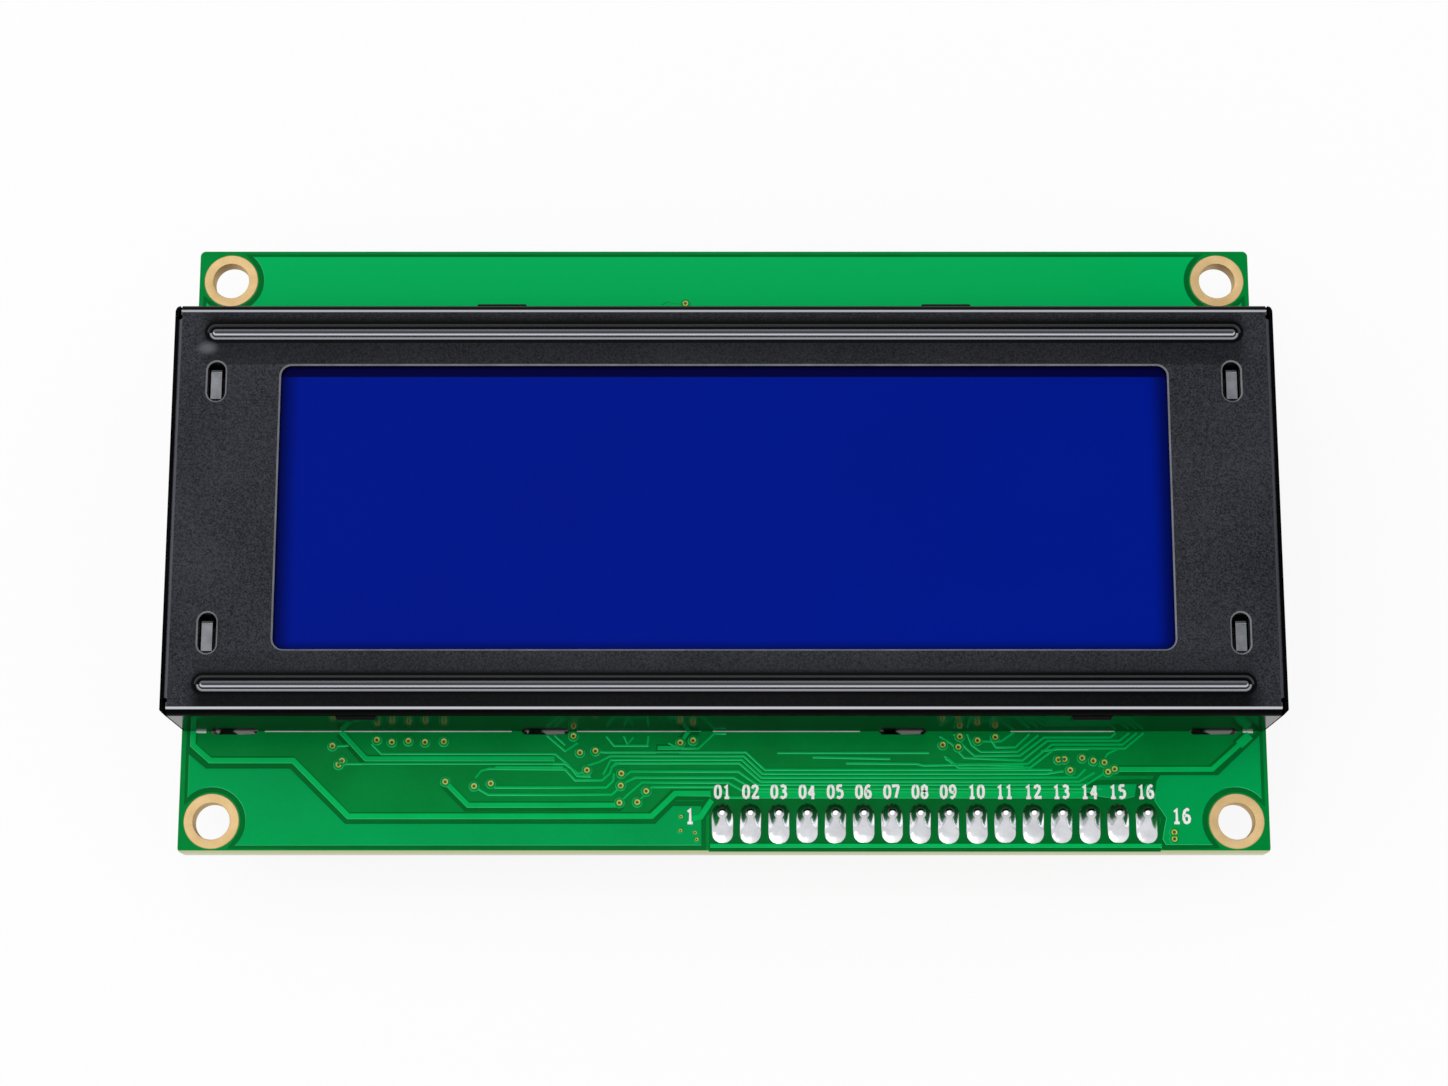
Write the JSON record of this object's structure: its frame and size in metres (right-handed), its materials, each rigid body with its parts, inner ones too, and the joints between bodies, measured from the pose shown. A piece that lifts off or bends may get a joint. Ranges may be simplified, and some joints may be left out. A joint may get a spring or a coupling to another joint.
{
  "type": "character lcd module",
  "caption": "Character display module: a flat blue display in a folded black bezel on a green circuit board, with corner screw holes and a soldered pin header.",
  "frame": {"origin": "centre of the four screw holes, on the board's display-side face", "axes": "+X to the right of the display, +Y to the board's plain long edge, away from the header, +Z out of the display towards the viewer"},
  "size_m": [0.0988, 0.0564, 0.0201],
  "materials": {
    "board": "solder mask over glass-fibre laminate",
    "gold_plate": "gold-plated copper",
    "bezel_steel": "satin black coating",
    "blue_polarizer": "plain blue film, not lit",
    "cell_glass": "clear",
    "cell_seal": "cured resin",
    "rear_film": "film",
    "zebra_rubber": "layered silicone rubber",
    "white_film": "white film",
    "guide_acrylic": "polished acrylic",
    "housing_plastic": "moulded white",
    "led_laminate": "white-coated laminate",
    "led_resin": "phosphor-filled resin",
    "tinned_wire": "tinned copper",
    "solder": "bright solder",
    "header_plastic": "moulded black",
    "pin_brass": "gold-flashed brass",
    "epoxy": "cured black epoxy",
    "resistor_ceramic": "glazed ceramic with tinned ends",
    "capacitor_ceramic": "ceramic with tinned ends"
  },
  "bodies": {
    "root": {"pcb": "board", "plated_ring_front_left": "gold_plate", "plated_ring_front_right": "gold_plate", "plated_ring_rear_left": "gold_plate", "plated_ring_rear_right": "gold_plate", "bezel": "bezel_steel", "lcd_front_polarizer": "blue_polarizer", "lcd_front_glass": "cell_glass", "lcd_seal": "cell_seal", "lcd_rear_glass": "cell_glass", "lcd_rear_polarizer": "rear_film", "zebra_strip_front": "zebra_rubber", "zebra_strip_rear": "zebra_rubber", "diffuser_film": "white_film", "light_guide": "guide_acrylic", "reflector_film": "white_film", "led_board_left": "led_laminate", "led_board_right": "led_laminate", "led_row_left": "led_resin", "led_row_right": "led_resin", "backlight_lead_left": "tinned_wire", "backlight_lead_right": "tinned_wire", "backlight_solder": "solder", "backlight_housing": "housing_plastic", "header_strip": "header_plastic", "solder_joints": "solder", "controller_blob": "epoxy", "driver_blob_left": "epoxy", "driver_blob_right": "epoxy", "header_pin_1": "pin_brass", "header_pin_2": "pin_brass", "header_pin_3": "pin_brass", "header_pin_4": "pin_brass", "header_pin_5": "pin_brass", "header_pin_6": "pin_brass", "header_pin_7": "pin_brass", "header_pin_8": "pin_brass", "header_pin_9": "pin_brass", "header_pin_10": "pin_brass", "header_pin_11": "pin_brass", "header_pin_12": "pin_brass", "header_pin_13": "pin_brass", "header_pin_14": "pin_brass", "header_pin_15": "pin_brass", "header_pin_16": "pin_brass", "chip_resistor_1": "resistor_ceramic", "chip_resistor_2": "resistor_ceramic", "chip_resistor_3": "resistor_ceramic", "chip_resistor_4": "resistor_ceramic", "chip_resistor_5": "resistor_ceramic", "chip_resistor_6": "resistor_ceramic", "chip_resistor_7": "resistor_ceramic", "chip_resistor_8": "resistor_ceramic", "chip_capacitor_1": "capacitor_ceramic", "chip_capacitor_2": "capacitor_ceramic"}
  },
  "joints": []
}
